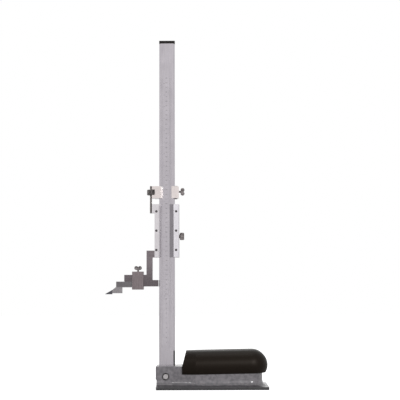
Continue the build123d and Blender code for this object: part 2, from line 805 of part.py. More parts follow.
with BuildPart() as fine_adjust_pin:
    with BuildSketch(Plane.YZ.offset(screw_side + pin_bite)):
        with Locations((screw_y, screw_bottom + lug_height / 2)):
            Circle(pin_diameter / 2)
    extrude(amount=-(pin_bite + screw_diameter + seat_gap))
fine_adjust_pin.part.label = "fine_adjust_pin"
export_step(fine_adjust_pin.part, "parts/fine_adjust_pin.step")


# ================================================================ wing screws
def turned(axis, profile):
    """A turned piece about axis, from its half profile as (radius, distance) points."""
    with BuildPart() as piece:
        with BuildSketch(Plane.XZ):
            with BuildLine():
                Polyline(*profile, close=True)
            make_face()
        revolve(axis=Axis.Z)
    return axis * piece.part


def spade_blade(start):
    """The flat thumb piece of the slider's lock screw, along +Z from the screw's collar."""
    with BuildPart() as blade:
        with BuildSketch(Plane.XZ):
            with BuildLine():
                Polyline(
                    (-spade_neck, start),
                    (-spade_span / 2, start + spade_rise),
                    (-spade_span / 2, start + spade_length),
                    (spade_span / 2, start + spade_length),
                    (spade_span / 2, start + spade_rise),
                    (spade_neck, start),
                    close=True,
                )
            make_face()
            corners = vertices().group_by(Axis.Y)[1:]
            fillet([corner for row in corners for corner in row], spade_corner)
        extrude(amount=wing_thickness / 2, both=True)
        chamfer(blade.faces().filter_by(Axis.Y).edges(), wing_edge)
    return blade.part


def butterfly_blade(start, length, span):
    """Two round wings side by side, along +Z from the screw's neck."""
    lobe = span / 4 + lobe_overlap
    middle = start + length - lobe
    with BuildPart() as blade:
        with BuildSketch(Plane.XZ):
            with Locations((-span / 2 + lobe, middle), (span / 2 - lobe, middle)):
                Circle(lobe)
            with BuildLine():
                Polyline(
                    (-lock_thread / 2 - wing_lead, start),
                    (lock_thread / 2 + wing_lead, start),
                    (span / 4, middle),
                    (0, start + length - wing_notch * lobe),
                    (-span / 4, middle),
                    close=True,
                )
            make_face()
        extrude(amount=wing_thickness / 2, both=True)
        chamfer(blade.faces().filter_by(Axis.Y).edges(), wing_edge)
    return blade.part


slider_lock_axis = Plane(
    origin=(gib_outer + running_gap, 0, lock_z),
    x_dir=(0, 0, 1),
    z_dir=(1, 0, 0),
).location
lock_reach = slider_right - gib_outer - running_gap + spade_stand
slider_lock_screw = slider_lock_axis * Part(
    [
        spade_blade(lock_reach).fuse(
            turned(
                Location(),
                (
                    (0, 0),
                    (lock_thread / 2 - wing_lead, 0),
                    (lock_thread / 2, wing_lead),
                    (lock_thread / 2, lock_reach - spade_stand + running_gap),
                    (wing_collar_diameter / 2, lock_reach - spade_stand + running_gap),
                    (wing_collar_diameter / 2, lock_reach + wing_lead),
                    (lock_thread / 2, lock_reach + wing_root),
                    (0, lock_reach + wing_root),
                ),
            )
        )
    ]
)
slider_lock_screw.label = "slider_lock_screw"
export_step(slider_lock_screw, "parts/slider_lock_screw.step")


def butterfly_screw(reach, stand, length, span):
    """A wing screw along +Z: a shank, a collar on the seat, a neck and two wings."""
    shank = turned(
        Location(),
        (
            (0, 0),
            (lock_thread / 2 - wing_lead, 0),
            (lock_thread / 2, wing_lead),
            (lock_thread / 2, reach + stand + length / 2),
            (0, reach + stand + length / 2),
        ),
    )
    return Part([shank.fuse(butterfly_blade(reach + stand, length, span))])


carriage_lock_reach = carriage_right - gib_outer - running_gap
carriage_lock_axis = Plane(
    origin=(gib_outer + running_gap, 0, carriage_lock_z), x_dir=(0, 0, 1), z_dir=(1, 0, 0)
).location
carriage_lock_screw = carriage_lock_axis * butterfly_screw(
    carriage_lock_reach, butterfly_stand, butterfly_length, butterfly_span
)
carriage_lock_screw.label = "carriage_lock_screw"
export_step(carriage_lock_screw, "parts/carriage_lock_screw.step")

box_centre = (box_left + box_right) / 2
scriber_clamp_screw = Location((box_centre, 0, jaw_top + running_gap)) * butterfly_screw(
    box_roof - running_gap, small_wing_stand, small_wing_length, small_wing_span
)
scriber_clamp_screw.label = "scriber_clamp_screw"
export_step(scriber_clamp_screw, "parts/scriber_clamp_screw.step")


# ================================================================ carriage
carriage_arm = screw_x - screw_diameter / 2
with BuildPart() as carriage_body:
    with BuildSketch(Plane.XY.offset(carriage_bottom)):
        with BuildLine():
            Polyline(
                (carriage_left_claw, channel_front),
                (carriage_left_claw - carriage_left_bevel, slider_front),
                (screw_side + running_gap, slider_front),
                (screw_side + running_gap, screw_back + running_gap),
                (carriage_arm, screw_back + running_gap),
                (carriage_arm, slider_front + carriage_arm_depth),
                (slider_left, slider_front + carriage_arm_depth),
                (slider_left, slider_back),
                (carriage_right, slider_back),
                (carriage_right, slider_front),
                (carriage_right_claw, slider_front),
                (carriage_right_claw, channel_front),
                (channel_right, channel_front),
                (channel_right, channel_back),
                (channel_left, channel_back),
                (channel_left, channel_front),
                close=True,
            )
        make_face()
    extrude(amount=carriage_height)
    # rounded corners of the right-hand claw
    outer = [
        edge
        for edge in carriage_body.edges().filter_by(Axis.Y)
        if abs(edge.center().X - carriage_right) < 0.01
    ]
    fillet(outer, carriage_round)
    # window for the nut
    with BuildSketch(Plane.XY.offset(nut_bottom - running_gap)):
        with Locations((screw_x, screw_y)):
            Circle(nut_diameter / 2 + nut_room)
            Rectangle(nut_diameter + 2 * nut_room, cut_reach, align=(Align.CENTER, Align.MAX))
    extrude(amount=nut_height + 2 * running_gap, mode=Mode.SUBTRACT)
    # hole for the lock screw
    with BuildSketch(Plane.YZ.offset(carriage_right)):
        with Locations((0, carriage_lock_z)):
            Circle(lock_thread / 2 + bore_gap)
    extrude(amount=channel_right - carriage_right, mode=Mode.SUBTRACT)
carriage_body.part.label = "carriage_body"
export_step(carriage_body.part, "parts/carriage_body.step")

with BuildPart() as carriage_shoe:
    with BuildSketch(Plane.XZ):
        with BuildLine():
            Polyline(
                (beam_side + running_gap, carriage_bottom - shoe_thickness),
                (beam_side + running_gap + shoe_hook, carriage_bottom - shoe_thickness),
                (beam_side + running_gap + shoe_hook, carriage_bottom - seat_gap),
                (gib_outer, carriage_bottom - seat_gap),
                (gib_outer, carriage_bottom + carriage_height + seat_gap),
                (beam_side + running_gap + shoe_hook, carriage_bottom + carriage_height + seat_gap),
                (beam_side + running_gap + shoe_hook, carriage_bottom + carriage_height + shoe_thickness),
                (beam_side + running_gap, carriage_bottom + carriage_height + shoe_thickness),
                close=True,
            )
        make_face()
        fillet(vertices().group_by(Axis.X)[0], shoe_thickness / 2)
    extrude(amount=gib_depth / 2, both=True)
carriage_shoe.part.label = "carriage_shoe"
export_step(carriage_shoe.part, "parts/carriage_shoe.step")

with BuildPart() as fine_adjust_nut:
    with BuildSketch(Plane.XY.offset(nut_bottom)):
        with Locations((screw_x, screw_y)):
            Circle(nut_diameter / 2)
    extrude(amount=nut_height)
    chamfer(fine_adjust_nut.edges(), nut_chamfer)
    with BuildSketch(Plane.XY.offset(nut_bottom)):
        with Locations((screw_x, screw_y)):
            Circle(screw_diameter / 2 + bore_gap)
    extrude(amount=nut_height, mode=Mode.SUBTRACT)
fine_adjust_nut.part.label = "fine_adjust_nut"
export_step(fine_adjust_nut.part, "parts/fine_adjust_nut.step")


# ================================================================ scriber clamp and scriber
scriber_bar_bottom = bar_bottom - running_gap - scriber_height
box_bottom = scriber_bar_bottom - running_gap - box_floor
box_top = jaw_top + box_roof
with BuildPart() as clamp_box:
    with BuildSketch(Plane.YZ.offset(box_left)):
        with Locations((0, (box_bottom + box_top) / 2)):
            RectangleRounded(jaw_depth + 2 * running_gap + 2 * box_wall, box_top - box_bottom, box_edge)
    extrude(amount=box_right - box_left)
    chamfer(clamp_box.faces().filter_by(Axis.X).edges(), box_edge / 2)
    with BuildSketch(Plane.YZ.offset(box_left)):
        with Locations((0, (scriber_bar_bottom - running_gap + jaw_top + running_gap) / 2)):
            Rectangle(
                jaw_depth + 2 * running_gap, jaw_top + running_gap - scriber_bar_bottom + running_gap
            )
    extrude(amount=box_right - box_left, mode=Mode.SUBTRACT)
    with BuildSketch(Plane.XY.offset(box_top)):
        with Locations((box_centre, 0)):
            Circle(lock_thread / 2 + bore_gap)
    extrude(amount=-box_roof, mode=Mode.SUBTRACT)
clamp_box.part.label = "clamp_box"
export_step(clamp_box.part, "parts/clamp_box.step")

with BuildPart() as scriber:
    with BuildSketch(Plane.XZ):
        with BuildLine():
            Polyline(
                (scriber_end, scriber_bar_bottom),
                (scriber_end, scriber_bar_bottom + scriber_height),
                (scriber_left, scriber_bar_bottom + scriber_height),
                (scriber_left, scriber_bottom + nose_slope_top),
                (nose_slope_x, scriber_bottom + nose_slope_foot),
                (tip_top_x, scriber_bottom + tip_top),
                (tip_heel, scriber_bottom + nose_clearance),
                (scriber_heel, scriber_bottom + nose_clearance),
                (scriber_heel, scriber_bar_bottom),
                close=True,
            )
        make_face()
    extrude(amount=jaw_depth / 2, both=True)
scriber.part.label = "scriber"
export_step(scriber.part, "parts/scriber.step")

with BuildPart() as scriber_tip:
    with BuildSketch(Plane.XZ):
        with BuildLine():
            Polyline(
                (tip_top_x, scriber_bottom + tip_top),
                (tip_point, scriber_bottom + tip_flat),
                (tip_point + tip_flat, scriber_bottom),
                (tip_heel, scriber_bottom),
                (tip_heel, scriber_bottom + nose_clearance),
                close=True,
            )
        make_face()
    extrude(amount=tip_depth / 2, both=True)
scriber_tip.part.label = "scriber_tip"
export_step(scriber_tip.part, "parts/scriber_tip.step")
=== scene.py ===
from math import atan2, cos, pi, radians, sin

import bmesh
import bpy
from mathutils import Matrix, Vector


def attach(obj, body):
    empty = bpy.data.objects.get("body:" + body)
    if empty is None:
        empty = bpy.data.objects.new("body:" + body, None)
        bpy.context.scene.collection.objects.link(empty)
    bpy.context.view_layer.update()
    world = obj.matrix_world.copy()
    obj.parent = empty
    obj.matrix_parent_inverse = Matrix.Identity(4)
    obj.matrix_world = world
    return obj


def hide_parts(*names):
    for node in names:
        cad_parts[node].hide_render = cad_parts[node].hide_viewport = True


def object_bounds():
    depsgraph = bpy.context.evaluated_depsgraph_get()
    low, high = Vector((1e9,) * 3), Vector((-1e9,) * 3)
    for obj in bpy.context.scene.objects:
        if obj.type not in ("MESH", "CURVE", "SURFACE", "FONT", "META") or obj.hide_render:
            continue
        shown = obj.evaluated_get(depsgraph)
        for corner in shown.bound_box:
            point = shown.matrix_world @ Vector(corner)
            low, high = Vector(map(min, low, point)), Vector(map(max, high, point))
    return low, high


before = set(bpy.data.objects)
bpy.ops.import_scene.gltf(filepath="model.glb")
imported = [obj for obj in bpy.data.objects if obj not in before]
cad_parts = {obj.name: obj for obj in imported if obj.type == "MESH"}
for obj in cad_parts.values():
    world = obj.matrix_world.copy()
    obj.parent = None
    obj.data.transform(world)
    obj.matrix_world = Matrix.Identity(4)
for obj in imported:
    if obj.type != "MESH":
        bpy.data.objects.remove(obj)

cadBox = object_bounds()
mm = 0.001
print("frame loaded:", len(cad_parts), "nodes")

# the camera stands a little below the slider and looks slightly up the beam
cameraSet = {
    "place": (0.0740, -2.000, 0.1982),
    "pitch": 5.54,      # degrees up
    "yaw": -0.12,
    "roll": -0.20,
    "lens": 85.3, "sensor": 36,      # mm
    "reach": 50,        # metres
}


def makeCamera(c):
    data = bpy.data.cameras.new("camera")
    data.sensor_width = c["sensor"]
    data.lens = c["lens"]
    data.clip_end = c["reach"]
    camera = bpy.data.objects.new("camera", data)
    bpy.context.scene.collection.objects.link(camera)
    pitch, yaw, roll = (radians(c[k]) for k in ("pitch", "yaw", "roll"))
    ahead = Vector((sin(yaw) * cos(pitch), cos(yaw) * cos(pitch), sin(pitch)))
    right = Vector((cos(yaw), -sin(yaw), 0))
    up = right.cross(ahead)
    side = right * cos(roll) + up * sin(roll)
    top = up * cos(roll) - right * sin(roll)
    m = Matrix((side, top, -ahead)).transposed().to_4x4()
    m.translation = Vector(c["place"])
    camera.matrix_world = m
    bpy.context.scene.camera = camera


makeCamera(cameraSet)
print("camera placed")


# small tools for colours and nodes
def hexColour(text):
    # sRGB hex to linear
    parts = [int(text[i:i + 2], 16) / 255 for i in (1, 3, 5)]
    return tuple(v / 12.92 if v <= 0.04045 else ((v + 0.055) / 1.055) ** 2.4 for v in parts) + (1.0,)


def addNode(tree, kind, settings={}, links={}):
    node = tree.nodes.new(kind)
    for key, value in settings.items():
        if isinstance(key, str) and hasattr(node, key):
            setattr(node, key, value)
        else:
            node.inputs[key].default_value = value
    for key, (source, output) in links.items():
        tree.links.new(source.outputs[output], node.inputs[key])
    return node


def newMaterial(name):
    material = bpy.data.materials.new(name)
    material.use_nodes = True
    tree = material.node_tree
    tree.nodes.clear()
    return material, tree


def objectPlace(tree):
    return addNode(tree, "ShaderNodeTexCoord"), "Object"


def mottle(tree, place, size, detail, dark, light, low=0.35, high=0.65):
    # a noise of the given size in mm, spread between two colours
    noise = addNode(tree, "ShaderNodeTexNoise", {"Scale": 1 / (size * mm), "Detail": detail}, {"Vector": place})
    ramp = addNode(tree, "ShaderNodeValToRGB", {}, {"Fac": (noise, "Fac")})
    ramp.color_ramp.elements[0].position = low
    ramp.color_ramp.elements[0].color = hexColour(dark)
    ramp.color_ramp.elements[1].position = high
    ramp.color_ramp.elements[1].color = hexColour(light)
    return noise, ramp


def shadeByHeight(tree, place, colour, heights, share):
    # the colour times share below the first height in mm, and unchanged above the second
    split = addNode(tree, "ShaderNodeSeparateXYZ", {}, {"Vector": place})
    amount = addNode(tree, "ShaderNodeMapRange",
                     {"interpolation_type": "SMOOTHSTEP", "From Min": heights[0] * mm, "From Max": heights[1] * mm,
                      "To Min": share, "To Max": 1.0}, {"Value": (split, "Z")})
    return addNode(tree, "ShaderNodeVectorMath", {"operation": "SCALE"}, {0: colour, "Scale": (amount, "Result")})


def shadeSides(tree, colour, sides):
    # painted light: the colour on faces turned to the front, and another one painted on those turned aside by more
    # than about 30 degrees
    facing = addNode(tree, "ShaderNodeSeparateXYZ", {}, {"Vector": (addNode(tree, "ShaderNodeTexCoord"), "Normal")})
    turned = addNode(tree, "ShaderNodeMapRange", {"From Min": -0.97, "From Max": -0.85}, {"Value": (facing, "Y")})
    return addNode(tree, "ShaderNodeMix", {"data_type": "RGBA", 7: hexColour(sides)},
                   {0: (turned, "Result"), 6: colour})


def spread(tree, source, low, high):
    return addNode(tree, "ShaderNodeMapRange", {"To Min": low, "To Max": high}, {"Value": source})


# hammer-finish enamel, sprayed on a rough casting: a glossy skin with slow waves that break each highlight up.
# Its dimples are 1 to 3 mm across on such a base, and are drawn at 5 mm so that they show. Sizes are in mm.
hammerFinish = {
    "dark": "#555256", "light": "#6b676b", "clouds": 6,
    "waves": 16, "waveDepth": 1.5, "waveShare": 0.8,
    "dimples": 5, "dimpleDepth": 0.6, "dimpleShare": 0.3, "dimpleBlend": 0.8,
    "footHeights": (2, 16), "footPaintedShade": 0.12,      # painted shade darkens the flange at the foot
    "rough": (0.38, 0.5), "specular": 0.25,
    "skin": 0.8, "skinRough": 0.1,
}


def hammerEnamel(name, f):
    material, tree = newMaterial(name)
    place = objectPlace(tree)
    noise, ramp = mottle(tree, place, f["clouds"], 3, f["dark"], f["light"])
    # painted shade: the colour is darkened towards the foot of the casting
    shaded = shadeByHeight(tree, place, (ramp, "Color"), f["footHeights"], f["footPaintedShade"])
    waves = addNode(tree, "ShaderNodeTexNoise", {"Scale": 1 / (f["waves"] * mm), "Detail": 1}, {"Vector": place})
    pits = addNode(tree, "ShaderNodeTexVoronoi",
                   {"feature": "SMOOTH_F1", "Scale": 1 / (f["dimples"] * mm), "Smoothness": f["dimpleBlend"]},
                   {"Vector": place})
    swell = addNode(tree, "ShaderNodeBump", {"Strength": f["waveShare"], "Distance": f["waveDepth"] * mm},
                    {"Height": (waves, "Fac")})
    dimples = addNode(tree, "ShaderNodeBump", {"Strength": f["dimpleShare"], "Distance": f["dimpleDepth"] * mm},
                      {"Height": (pits, "Distance"), "Normal": (swell, "Normal")})
    gloss = spread(tree, (noise, "Fac"), *f["rough"])
    shader = addNode(tree, "ShaderNodeBsdfPrincipled",
                     {"Specular IOR Level": f["specular"], "Coat Weight": f["skin"], "Coat Roughness": f["skinRough"]},
                     {"Base Color": (shaded, "Vector"), "Roughness": (gloss, "Result"),
                      "Normal": (dimples, "Normal"), "Coat Normal": (swell, "Normal")})
    addNode(tree, "ShaderNodeOutputMaterial", {}, {"Surface": (shader, "BSDF")})
    return material


# ABS moulded in a spark-eroded tool: a dull sheen with a fine even tooth.
# The real grain is about 0.1 mm, and is drawn at about 1 mm so that it shows. Sizes are in mm.
mouldedFinishes = {
    "gripMouldedAbs": {"dark": "#0e0906", "light": "#15100c", "grain": 1.1, "depth": 0.2, "rough": 0.42, "sheen": 0.1},
    "capMouldedAbs": {"dark": "#08080a", "light": "#0e0e10", "grain": 0.9, "depth": 0.1, "rough": 0.42, "sheen": 0.12},
}
mouldedTooth = 0.35
mouldedGlossSpread = 0.08
absIor = 1.5
absSheenTint = "#fff2e6"


def mouldedAbs(name, dark, light, grain, depth, rough, sheen):
    material, tree = newMaterial(name)
    noise, ramp = mottle(tree, objectPlace(tree), grain, 2, dark, light)
    tooth = addNode(tree, "ShaderNodeBump", {"Strength": mouldedTooth, "Distance": depth * mm},
                    {"Height": (noise, "Fac")})
    gloss = spread(tree, (noise, "Fac"), rough - mouldedGlossSpread, rough + mouldedGlossSpread)
    shader = addNode(tree, "ShaderNodeBsdfPrincipled",
                     {"IOR": absIor, "Specular IOR Level": sheen, "Specular Tint": hexColour(absSheenTint)},
                     {"Base Color": (ramp, "Color"), "Roughness": (gloss, "Result"), "Normal": (tooth, "Normal")})
    addNode(tree, "ShaderNodeOutputMaterial", {}, {"Surface": (shader, "BSDF")})
    return material


# Metals finished with an abrasive: streaks along the stroke and a soft broken reflection. Real grinding lines are
# about 0.05 mm wide, and are drawn at about 1 mm so that they show. Stroke, depth and heights are in mm.
alongZ = (1, 1, 0.04)
alongX = (0.05, 1, 1)
groundFinishes = {
    # satin chrome on ground steel: pale and even, with faint upright streaks
    "beamSatinChrome": {"dark": "#ada8ae", "light": "#b8b3b8", "stroke": 0.9, "rough": 0.15, "across": alongZ,
                        "depth": 0.012},
    "stripSatinChrome": {"dark": "#c5c1c4", "light": "#d0cccf", "stroke": 0.9, "rough": 0.2, "across": alongZ,
                         "depth": 0.012},
    # the same plating on the right strip, painted lighter as painted light
    "stripChromePaintedLighter": {"dark": "#cfccd1", "light": "#dad7dc", "stroke": 0.9, "rough": 0.2, "across": alongZ,
                          "depth": 0.012},
    # the same plating, a little warmer, with painted light on the faces turned aside
    "carriageSatinChrome": {"dark": "#ccc3c1", "light": "#d5cdcb", "stroke": 0.9, "rough": 0.2, "across": alongZ,
                            "depth": 0.012, "sides": "#f4f1f0"},
    # blasted before it was plated: duller, and painted darker as painted shade on its sloping edge
    "vernierChromePaintedShade": {"dark": "#807c81", "light": "#8d898e", "stroke": 0.9, "rough": 0.28, "across": alongZ},
    # bare tool steel off the surface grinder: grey, with streaks along the bar, and darker towards its lower end as
    # painted shade
    "jawToolSteel": {"dark": "#6a6265", "light": "#797275", "stroke": 1.0, "rough": 0.28, "across": alongX,
                     "heights": (214, 262), "share": 0.66},
    "boxToolSteel": {"dark": "#6c6264", "light": "#7f7779", "stroke": 1.0, "rough": 0.28, "across": alongZ},
    # the same steel, hardened to a dark grey above and ground bright again at the tip
    "scriberToolSteel": {"dark": "#615e60", "light": "#706d6f", "stroke": 1.0, "rough": 0.28, "across": alongX,
                         "heights": (208, 210), "share": 1.75},
    # knurled steel with oil in the grooves: dark and patchy
    "knurledSteel": {"dark": "#4c4847", "light": "#757170", "stroke": 5, "rough": 0.28},
    # turned steel: mid grey with a soft shine
    "turnedSteel": {"dark": "#736e6c", "light": "#827d7b", "stroke": 0.8, "rough": 0.28},
    # turned and polished steel: lighter, with a clearer shine
    "polishedSteel": {"dark": "#a8a4a5", "light": "#bab6b7", "stroke": 1.2, "rough": 0.24},
    # black-oxide steel: dark grey and nearly matt
    "blackenedSteel": {"dark": "#413e3f", "light": "#504d4e", "stroke": 1.2, "rough": 0.4},
    # cast wings, blackened, with random bright patches as painted highlights
    "wingSteelPaintedHighlights": {"dark": "#3a3535", "light": "#857f7f", "stroke": 3.5, "rough": 0.3},
    # turned brass and rolled bronze: warm yellow and warm brown, both dulled
    "turnedBrass": {"dark": "#a98a4c", "light": "#b89a5c", "stroke": 0.8, "rough": 0.32},
    "rolledBronze": {"dark": "#97734a", "light": "#a5825a", "stroke": 0.8, "rough": 0.34, "across": alongZ},
    # sintered carbide, lapped: a dense dark grey
    "sinteredCarbide": {"dark": "#49484c", "light": "#56555a", "stroke": 0.7, "rough": 0.3},
}
groundClouds = 22            # mm, slow change of gloss across a face
groundGlossSpread = 0.06
groundStreakShare = 0.25


def groundMetal(name, dark, light, stroke, rough, across=(1, 1, 1), depth=0.02, heights=None, share=1.0, sides=None):
    material, tree = newMaterial(name)
    place = objectPlace(tree)
    grain = addNode(tree, "ShaderNodeMapping", {"Scale": across}, {"Vector": place})
    streak, ramp = mottle(tree, (grain, "Vector"), stroke, 4, dark, light, 0.3, 0.7)
    colour = (ramp, "Color")
    # a change of colour with height: painted shade on the jaw's lower end, and the scriber's bright ground tip
    if heights:
        colour = (shadeByHeight(tree, place, colour, heights, share), "Vector")
    # painted light on the faces turned aside, where a colour for them is given
    if sides:
        colour = (shadeSides(tree, colour, sides), 2)
    cloud = addNode(tree, "ShaderNodeTexNoise", {"Scale": 1 / (groundClouds * mm), "Detail": 2}, {"Vector": place})
    lines = addNode(tree, "ShaderNodeBump", {"Strength": groundStreakShare, "Distance": depth * mm},
                    {"Height": (streak, "Fac")})
    gloss = spread(tree, (cloud, "Fac"), rough - groundGlossSpread, rough + groundGlossSpread)
    shader = addNode(tree, "ShaderNodeBsdfPrincipled", {"Metallic": 1.0},
                     {"Base Color": colour, "Roughness": (gloss, "Result"), "Normal": (lines, "Normal")})
    addNode(tree, "ShaderNodeOutputMaterial", {}, {"Surface": (shader, "BSDF")})
    return material


# enamel wiped into engraved lines: dull, a little worn
fillFinish = {"dark": "#525053", "light": "#656265", "patches": 1.5, "rough": 0.6}


def enamelFill(name, f):
    material, tree = newMaterial(name)
    ramp = mottle(tree, objectPlace(tree), f["patches"], 2, f["dark"], f["light"])[1]
    shader = addNode(tree, "ShaderNodeBsdfPrincipled", {"Roughness": f["rough"]}, {"Base Color": (ramp, "Color")})
    addNode(tree, "ShaderNodeOutputMaterial", {}, {"Surface": (shader, "BSDF")})
    return material


finishes = {
    "baseHammerEnamel": hammerEnamel("baseHammerEnamel", hammerFinish),
    "blackFill": enamelFill("blackFill", fillFinish),
}
for finishName, finish in mouldedFinishes.items():
    finishes[finishName] = mouldedAbs(finishName, **finish)
for finishName, finish in groundFinishes.items():
    finishes[finishName] = groundMetal(finishName, **finish)
print("finishes made:", len(finishes))

nodeFinishes = {
    "base_casting": "baseHammerEnamel", "grip_cover": "gripMouldedAbs", "grip_cover_screws": "blackenedSteel",
    "beam": "beamSatinChrome", "beam_end_cap": "capMouldedAbs", "beam_clamp_screw": "polishedSteel",
    "beam_clamp_pad": "turnedBrass", "beam_foot_screws": "blackenedSteel",
    "slider_body": "jawToolSteel", "slider_left_strip": "stripSatinChrome",
    "slider_right_strip": "stripChromePaintedLighter", "vernier_plate": "vernierChromePaintedShade",
    "left_strip_screws": "blackenedSteel", "right_strip_screws": "blackenedSteel",
    "slider_gib": "rolledBronze", "slider_gib_screws": "blackenedSteel", "fine_adjust_screw": "turnedSteel",
    "fine_adjust_pin": "polishedSteel", "fine_adjust_nut": "knurledSteel",
    "carriage_body": "carriageSatinChrome", "carriage_shoe": "blackenedSteel",
    "slider_lock_screw": "wingSteelPaintedHighlights", "carriage_lock_screw": "wingSteelPaintedHighlights", "scriber_clamp_screw": "wingSteelPaintedHighlights",
    "clamp_box": "boxToolSteel", "scriber": "scriberToolSteel", "scriber_tip": "sinteredCarbide",
}
for nodeName, finishName in nodeFinishes.items():
    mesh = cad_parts[nodeName].data
    mesh.materials.clear()
    mesh.materials.append(finishes[finishName])
print("nodes finished:", len(nodeFinishes))


# small tools for the pieces
def addPiece(name, mesh, body, finishName):
    piece = bpy.data.objects.new(name, mesh)
    bpy.context.scene.collection.objects.link(piece)
    mesh.materials.clear()
    mesh.materials.append(finishes[finishName])
    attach(piece, body)
    return piece


def meshFrom(target, name):
    mesh = bpy.data.meshes.new(name)
    target.to_mesh(mesh)
    target.free()
    return mesh


def addStroke(target, left, right, centre, width, surface):
    # one engraved line across a surface, which is given as the depth y at a value of x
    low, high = centre - width / 2, centre + width / 2
    corners = [(left, surface(left), low), (right, surface(right), low),
               (right, surface(right), high), (left, surface(left), high)]
    target.faces.new([target.verts.new(Vector(c) * mm) for c in corners])


def addText(target, words, size, place, turn=0.0, narrow=1.0):
    # flat figures that face the reader, added to a bmesh, with size and place in mm
    curve = bpy.data.curves.new("figures", "FONT")
    curve.body = words
    curve.size = size * mm
    curve.align_x = "CENTER"
    curve.align_y = "CENTER"
    curve.resolution_u = 2
    lettering = bpy.data.objects.new("figures", curve)
    bpy.context.scene.collection.objects.link(lettering)
    bpy.context.view_layer.update()
    flat = bpy.data.meshes.new_from_object(lettering.evaluated_get(bpy.context.evaluated_depsgraph_get()))
    flat.transform(Matrix.Translation(Vector(place) * mm) @ Matrix.Rotation(turn, 4, "Z")
                   @ Matrix.Rotation(pi / 2, 4, "X") @ Matrix.Diagonal((narrow, 1, 1, 1)))
    target.from_mesh(flat)
    bpy.data.objects.remove(lettering)
    bpy.data.curves.remove(curve)
    bpy.data.meshes.remove(flat)


# the millimetre scale with its figures on the right, and an inch scale in twentieths on the left
inch = 25.4
mainScale = {
    "zero": 84.0, "last": 570,
    "face": -5.0, "proud": 0.03,
    "right": 9.2, "short": 4.8, "middle": 5.6, "long": 6.6,
    "line": 0.13,
    "figures": -1.3, "figureSize": 3.2, "figureNarrow": 0.86,
    "inchParts": 20, "inchLeft": -12.4,
    "inchShort": 3.4, "inchTenth": 3.9, "inchHalf": 4.8, "inchLong": 5.2,
    "inchFigures": -6.1, "inchFigureSize": 2.6, "inchFigureNarrow": 0.8,
}


def millimetreMark(s, step):
    if step % 10 == 0:
        return s["long"]
    return s["middle"] if step % 5 == 0 else s["short"]


def inchMark(s, step):
    if step % s["inchParts"] == 0:
        return s["inchLong"]
    if step % (s["inchParts"] // 2) == 0:
        return s["inchHalf"]
    return s["inchTenth"] if step % 2 == 0 else s["inchShort"]


def makeMainScale(s):
    face = lambda x: s["face"] - s["proud"]
    marks = bmesh.new()
    for step in range(s["last"] + 1):
        height = s["zero"] + step
        addStroke(marks, s["right"] - millimetreMark(s, step), s["right"], height, s["line"], face)
    part = inch / s["inchParts"]
    for step in range(int(s["last"] / part) + 1):
        height = s["zero"] + step * part
        addStroke(marks, s["inchLeft"], s["inchLeft"] + inchMark(s, step), height, s["line"], face)
    addPiece("scaleMarks", meshFrom(marks, "scaleMarks"), "base", "blackFill")
    figures = bmesh.new()
    for step in range(10, s["last"] + 1, 10):
        place = (s["figures"], face(0), s["zero"] + step)
        addText(figures, str(step), s["figureSize"], place, narrow=s["figureNarrow"])
    for step in range(1, int(s["last"] / inch) + 1):
        place = (s["inchFigures"], face(0), s["zero"] + step * inch)
        addText(figures, str(step), s["inchFigureSize"], place, narrow=s["inchFigureNarrow"])
    addPiece("scaleFigures", meshFrom(figures, "scaleFigures"), "base", "blackFill")


# the vernier on the sloping edge of its plate: fifty parts on forty-nine millimetres
vernier = {
    "zero": 278.0, "parts": 50, "span": 49.0,
    "edge": 5.8, "edgeFace": -5.75, "top": 13.9, "topFace": -8.05, "proud": 0.04,
    "margin": 0.1, "short": 2.6, "long": 4.2,
    "line": 0.13,
    "figures": 11.9, "figureSize": 2.5,
    "notes": 10.9, "readingRise": 12.0, "unitRise": 8.4,      # the reading and its unit, above the last mark
}


def makeVernier(v):
    depth, width = v["edgeFace"] - v["topFace"], v["top"] - v["edge"]
    face = lambda x: v["edgeFace"] - depth / width * (x - v["edge"]) - v["proud"]
    turn = -atan2(depth, width)
    marks = bmesh.new()
    figures = bmesh.new()
    for step in range(v["parts"] + 1):
        height = v["zero"] + step * v["span"] / v["parts"]
        length = v["long"] if step % 5 == 0 else v["short"]
        addStroke(marks, v["edge"] + v["margin"], v["edge"] + length, height, v["line"], face)
        if step % 5 == 0:
            addText(figures, str(step // 5), v["figureSize"], (v["figures"], face(v["figures"]), height), turn)
    for words, rise in (("0.02", v["readingRise"]), ("mm", v["unitRise"])):
        place = (v["notes"], face(v["notes"]), v["zero"] + v["span"] + rise)
        addText(figures, words, v["figureSize"], place, turn)
    addPiece("vernierMarks", meshFrom(marks, "vernierMarks"), "slider", "blackFill")
    addPiece("vernierFigures", meshFrom(figures, "vernierFigures"), "slider", "blackFill")


# the fine-adjustment nut: straight knurl between two plain chamfers
knurledNut = {
    "x": -34.0, "y": -3.0, "low": 402.3, "high": 413.8,
    "radius": 8.25, "chamfer": 1.0, "hub": 4.55, "bore": 2.35,
    "teeth": 52, "toothDepth": 0.45,
}


